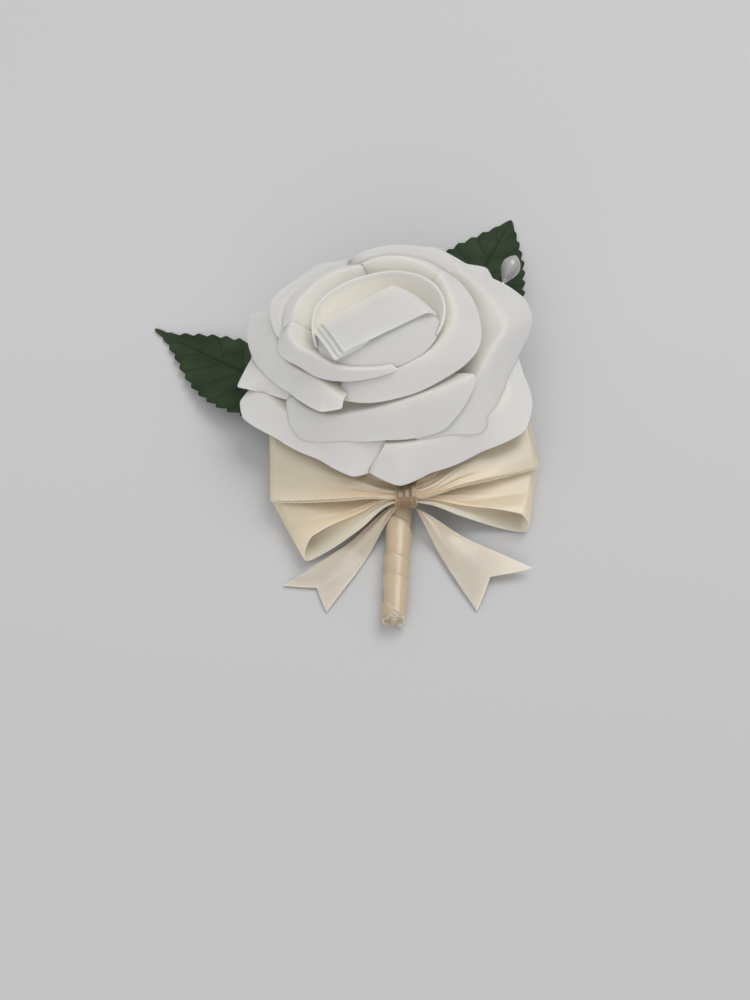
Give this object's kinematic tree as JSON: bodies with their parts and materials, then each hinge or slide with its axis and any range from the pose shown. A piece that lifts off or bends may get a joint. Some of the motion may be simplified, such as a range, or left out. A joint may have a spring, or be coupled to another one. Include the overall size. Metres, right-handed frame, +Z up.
{
  "type": "boutonniere",
  "caption": "Foam rose boutonniere lying face up: rolled white petals, serrated green leaves, satin bow, ribbon-wrapped stem and a pearl-headed pin.",
  "frame": {"origin": "centre of the bounding box's underside, on the surface that the boutonniere lies on", "axes": "+Z up out of the bloom's face, -Y along the wrapped stem towards its cut end, +X to the pin's side"},
  "size_m": [0.1122, 0.145, 0.0417],
  "materials": {
    "petal_foam": "soft matte foam sheet",
    "calyx_plastic": "matte green plastic",
    "stem_plastic": "matte green plastic over wire",
    "leaf_fabric": "dark green pressed fabric",
    "satin": "cream satin ribbon",
    "pin_steel": "nickel-plated steel",
    "pearl": "pearl lacquer"
  },
  "bodies": {
    "root": {"rose_bloom": "petal_foam", "rose_calyx": "calyx_plastic", "rose_stem": "stem_plastic", "leaf_left": "leaf_fabric", "leaf_right": "leaf_fabric", "stem_wrap": "satin", "bow_left_upper_loop": "satin", "bow_left_lower_loop": "satin", "bow_right_upper_loop": "satin", "bow_right_lower_loop": "satin", "bow_left_tail": "satin", "bow_right_tail": "satin", "bow_knot": "satin", "pin_shaft": "pin_steel", "pin_pearl": "pearl"}
  },
  "joints": []
}
